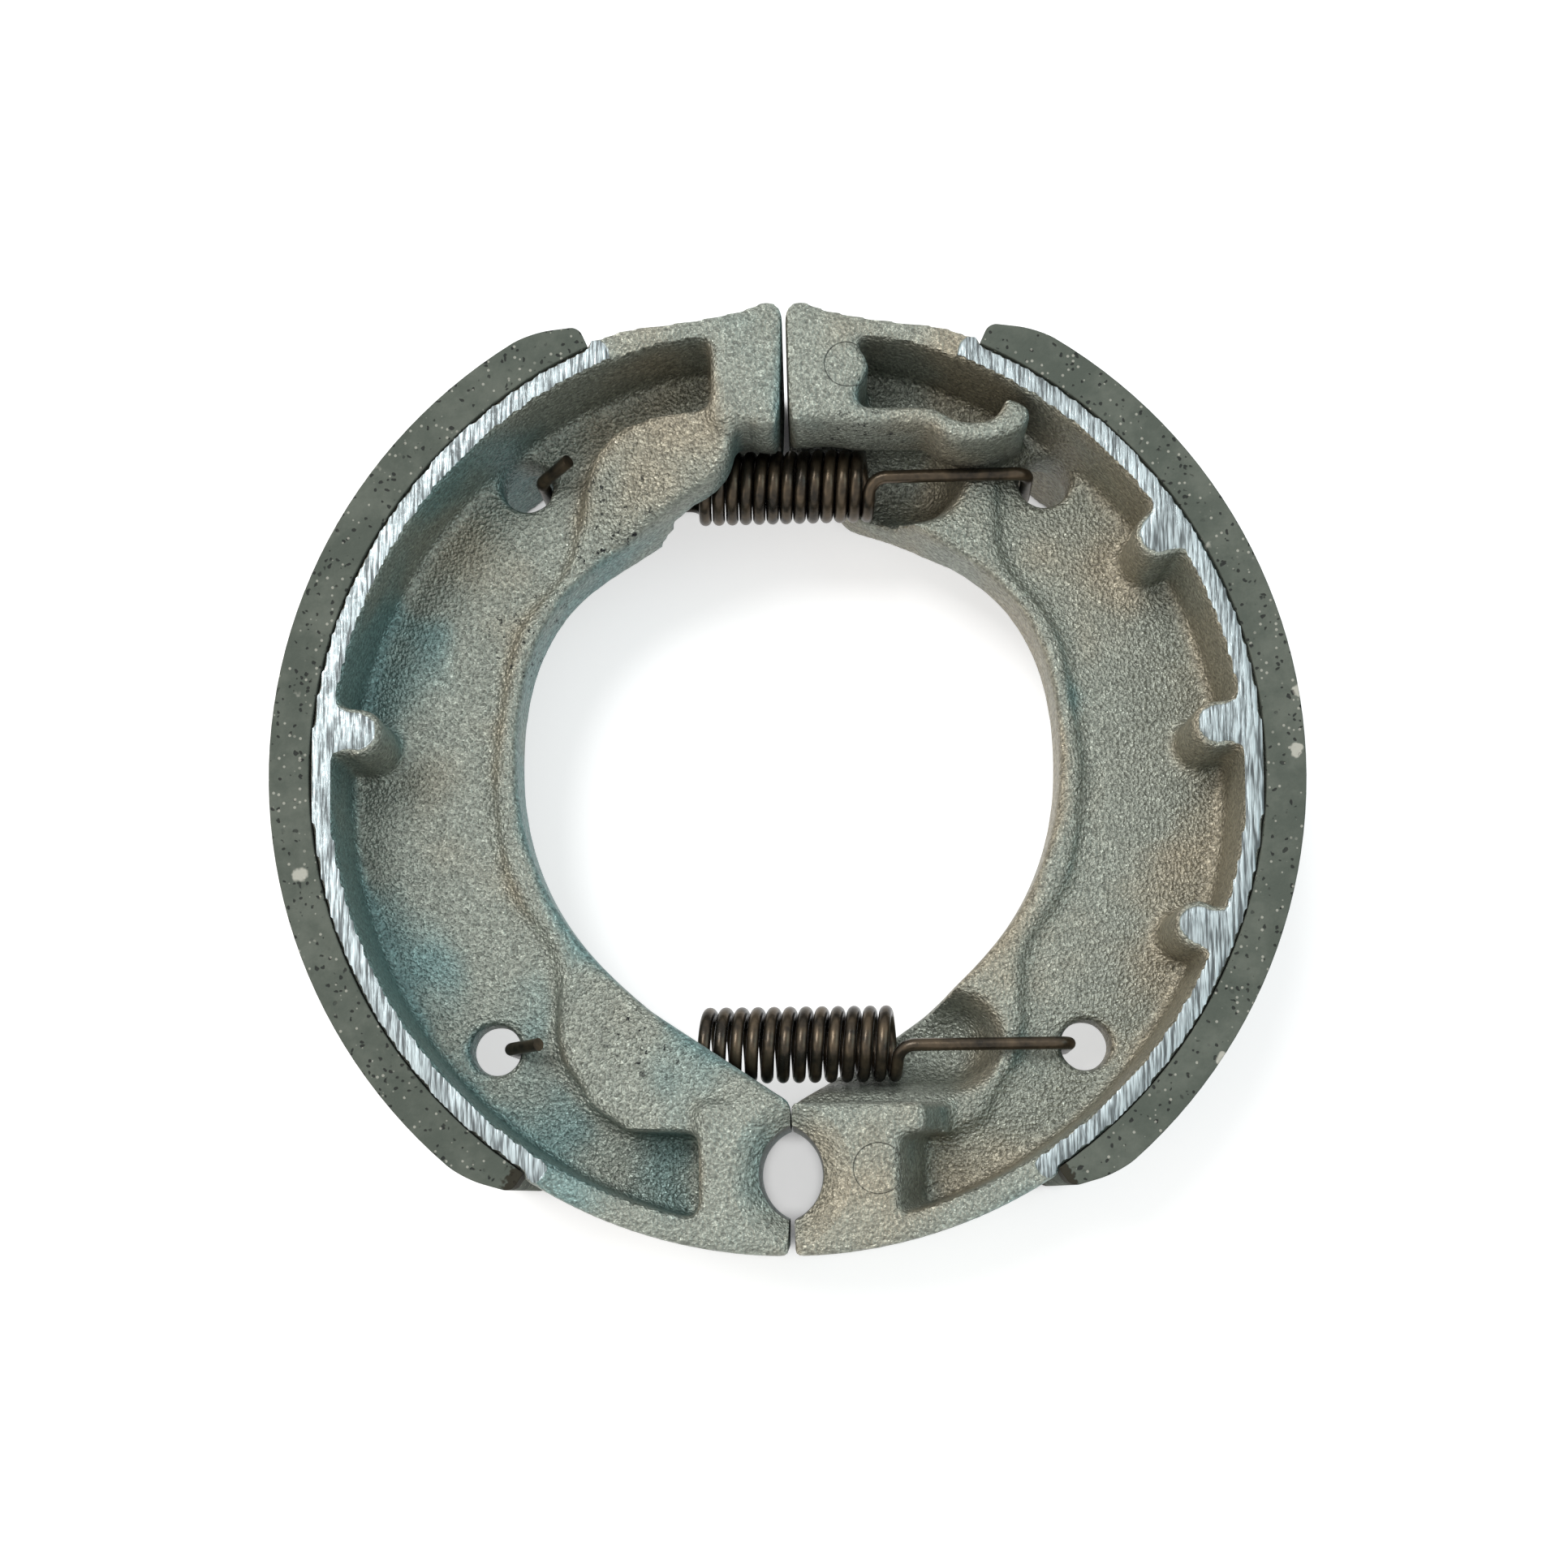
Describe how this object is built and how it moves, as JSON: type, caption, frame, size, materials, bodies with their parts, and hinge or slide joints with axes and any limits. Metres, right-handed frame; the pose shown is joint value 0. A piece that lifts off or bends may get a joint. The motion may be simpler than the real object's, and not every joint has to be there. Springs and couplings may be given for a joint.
{
  "type": "drum brake shoe set",
  "caption": "Drum brake shoes of cast aluminium with bonded friction linings, held together by coil return springs.",
  "frame": {"origin": "centre of the set: on the drum's axis, half-way through the shoes' width", "axes": "+X from the left shoe to the right shoe, +Y from the anchor pin's seat to the cam faces, +Z along the drum's axis"},
  "size_m": [0.109, 0.1017, 0.025],
  "materials": {
    "casting": "grainy satin, with bright machined edges",
    "lining": "rough, speckled friction material",
    "spring": "dark oiled wire"
  },
  "bodies": {
    "left_shoe": {"left_casting": "casting", "left_lining": "lining", "upper_spring": "spring", "lower_spring": "spring"},
    "right_shoe": {"right_casting": "casting", "right_lining": "lining"}
  },
  "joints": [
    {"name": "shoe_swing", "type": "hinge", "parent": "left_shoe", "child": "right_shoe", "pos_m": [0, -0.0421, 0], "axis": [0, 0, -1], "range_deg": [0, 4], "stiffness_Nm_per_rad": 0.5, "deforming": ["upper_spring", "lower_spring"]}
  ]
}
